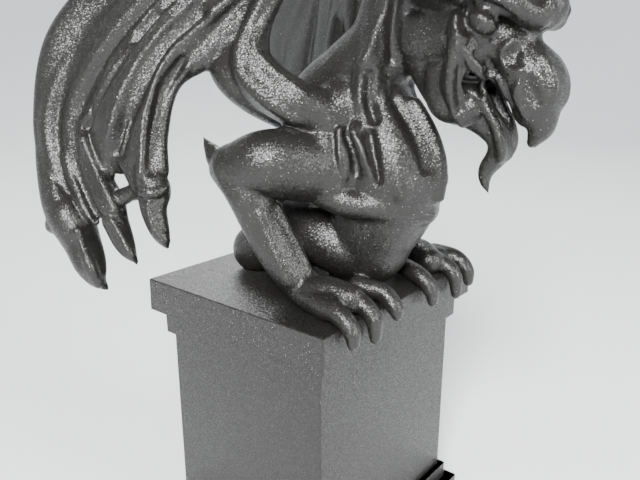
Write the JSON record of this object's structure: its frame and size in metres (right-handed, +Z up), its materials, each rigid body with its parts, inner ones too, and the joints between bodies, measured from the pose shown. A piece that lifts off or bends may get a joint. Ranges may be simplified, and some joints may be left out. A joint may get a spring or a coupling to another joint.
{
  "type": "gargoyle statuette",
  "caption": "Small plastic statuette of a beaked, winged gargoyle crouching on a stepped square plinth, with folded clawed wings and toes hooked over the edge.",
  "frame": {"origin": "middle of the plinth's underside", "axes": "+Z up, the beast looks along -Y, its right side is -X"},
  "size_m": [0.0672, 0.0755, 0.1082],
  "materials": {
    "gargoyle_plastic": "charcoal plastic full of fine pale flakes, glossy, with fine layer lines",
    "plinth_plastic": "charcoal plastic full of fine pale flakes, satin, with fine layer lines"
  },
  "bodies": {
    "root": {"gargoyle": "gargoyle_plastic", "plinth": "plinth_plastic"}
  },
  "joints": []
}
